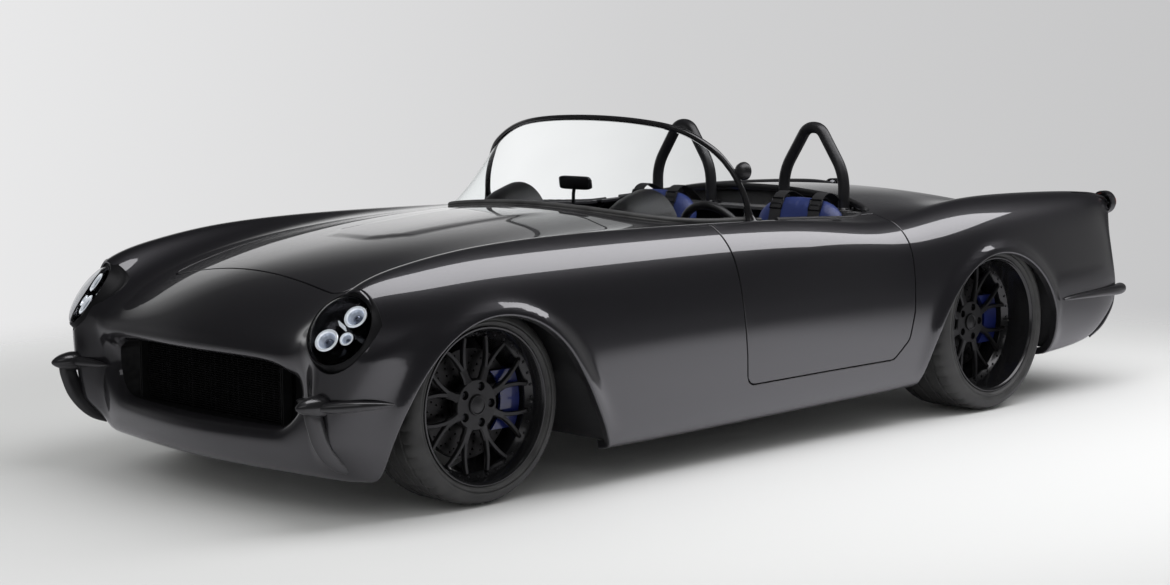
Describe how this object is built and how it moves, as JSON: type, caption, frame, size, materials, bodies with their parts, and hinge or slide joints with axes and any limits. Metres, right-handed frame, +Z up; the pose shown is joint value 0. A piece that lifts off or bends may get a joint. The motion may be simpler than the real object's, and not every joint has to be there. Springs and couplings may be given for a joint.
{
  "type": "two-seat roadster car",
  "caption": "Open roadster with a rounded nose, oval headlamps, curved windscreen, bucket seats, roll hoops, opening doors, hood and boot lid, and steered, turning wheels.",
  "frame": {"origin": "middle of the car's bounding box, on the ground under it", "axes": "+X to the tail, +Y to the car's right-hand side, +Z up"},
  "size_m": [4.2363, 1.8122, 1.1876],
  "materials": {
    "body_paint": "gloss metallic charcoal",
    "black_steel": "satin black",
    "carpet": "black carpet",
    "dash_trim": "stitched black",
    "black_frame": "satin black",
    "screen_glass": "clear laminated",
    "radiator_core": "blackened fins",
    "lamp_bezel": "dark satin",
    "lamp_glass": "clear domed",
    "red_lens": "red lens",
    "bumper_paint": "dark satin",
    "seat_leather": "blue",
    "wheel_leather": "black",
    "gaiter_leather": "black",
    "cast_metal": "cast",
    "pipe_steel": "brushed",
    "caliper_blue": "gloss blue",
    "tyre_rubber": "matt black",
    "black_rim": "satin black",
    "disc_iron": "turned"
  },
  "bodies": {
    "root": {"nose": "body_paint", "fender_left": "body_paint", "fender_right": "body_paint", "quarter_left": "body_paint", "quarter_right": "body_paint", "tail": "body_paint", "hinge_posts": "black_steel", "front_crossmember": "black_steel", "rail_left": "black_steel", "rail_right": "black_steel", "cross_tubes": "black_steel", "floor_tub": "carpet", "bulkheads": "carpet", "dashboard": "dash_trim", "windscreen_frame": "black_frame", "windscreen_glass": "screen_glass", "radiator": "radiator_core", "headlamp_rims": "lamp_bezel", "headlamp_lenses": "lamp_glass", "tail_lamps": "red_lens", "front_bumpers": "bumper_paint", "rear_bumpers": "bumper_paint", "seat_left": "seat_leather", "seat_right": "seat_leather", "roll_hoops": "black_frame", "steering_column": "black_steel", "mirrors": "black_frame", "gear_lever": "gaiter_leather", "engine_block": "cast_metal", "front_axle": "black_steel", "rear_axle": "cast_metal", "exhaust": "pipe_steel", "calipers_rear": "caliper_blue"},
    "hood": {"hood": "body_paint", "hood_straps": "black_steel"},
    "boot_lid": {"boot_lid": "body_paint", "lid_straps": "black_steel"},
    "door_left": {"door_left": "body_paint", "door_straps_left": "black_steel"},
    "door_right": {"door_right": "body_paint", "door_straps_right": "black_steel"},
    "knuckle_left": {"knuckle_left": "cast_metal", "caliper_front_left": "caliper_blue"},
    "knuckle_right": {"knuckle_right": "cast_metal", "caliper_front_right": "caliper_blue"},
    "steering_wheel": {"steering_wheel": "wheel_leather"},
    "wheel_front_left": {"tyre_front_left": "tyre_rubber", "rim_front_left": "black_rim", "hub_front_left": "disc_iron"},
    "wheel_front_right": {"tyre_front_right": "tyre_rubber", "rim_front_right": "black_rim", "hub_front_right": "disc_iron"},
    "wheel_rear_left": {"tyre_rear_left": "tyre_rubber", "rim_rear_left": "black_rim", "hub_rear_left": "disc_iron"},
    "wheel_rear_right": {"tyre_rear_right": "tyre_rubber", "rim_rear_right": "black_rim", "hub_rear_right": "disc_iron"}
  },
  "joints": [
    {"name": "hood_lift", "type": "hinge", "parent": "root", "child": "hood", "pos_m": [-1.90215, 0, 0.66], "axis": [0, -1, 0], "range_deg": [0, 45]},
    {"name": "boot_lid_lift", "type": "hinge", "parent": "root", "child": "boot_lid", "pos_m": [1.16585, 0, 0.826], "axis": [0, -1, 0], "range_deg": [0, 50]},
    {"name": "door_left_swing", "type": "hinge", "parent": "root", "child": "door_left", "pos_m": [-0.50215, -0.835, 0.575], "axis": [0, 0, -1], "range_deg": [0, 58]},
    {"name": "door_right_swing", "type": "hinge", "parent": "root", "child": "door_right", "pos_m": [-0.50215, 0.835, 0.575], "axis": [0, 0, 1], "range_deg": [0, 58]},
    {"name": "steer_left", "type": "hinge", "parent": "root", "child": "knuckle_left", "pos_m": [-1.51215, -0.64, 0.317], "axis": [0, 0, 1], "range_deg": [-28, 28]},
    {"name": "steer_right", "type": "hinge", "parent": "root", "child": "knuckle_right", "pos_m": [-1.51215, 0.64, 0.317], "axis": [0, 0, 1], "range_deg": [-28, 28]},
    {"name": "steering_wheel_turn", "type": "hinge", "parent": "root", "child": "steering_wheel", "pos_m": [-0.01215, -0.385, 0.7], "axis": [0.9272, 0, 0.3746], "range_deg": [-340, 340]},
    {"name": "spin_front_left", "type": "hinge", "parent": "knuckle_left", "child": "wheel_front_left", "pos_m": [-1.51215, -0.68, 0.317], "axis": [0, 1, 0], "continuous": true},
    {"name": "spin_front_right", "type": "hinge", "parent": "knuckle_right", "child": "wheel_front_right", "pos_m": [-1.51215, 0.68, 0.317], "axis": [0, 1, 0], "continuous": true},
    {"name": "spin_rear_left", "type": "hinge", "parent": "root", "child": "wheel_rear_left", "pos_m": [1.07885, -0.72, 0.342], "axis": [0, 1, 0], "continuous": true},
    {"name": "spin_rear_right", "type": "hinge", "parent": "root", "child": "wheel_rear_right", "pos_m": [1.07885, 0.72, 0.342], "axis": [0, 1, 0], "continuous": true}
  ],
  "couplings": [
    {"joint": "steer_right", "follows": "steer_left", "ratio": 1},
    {"joint": "steering_wheel_turn", "follows": "steer_left", "ratio": 12}
  ]
}
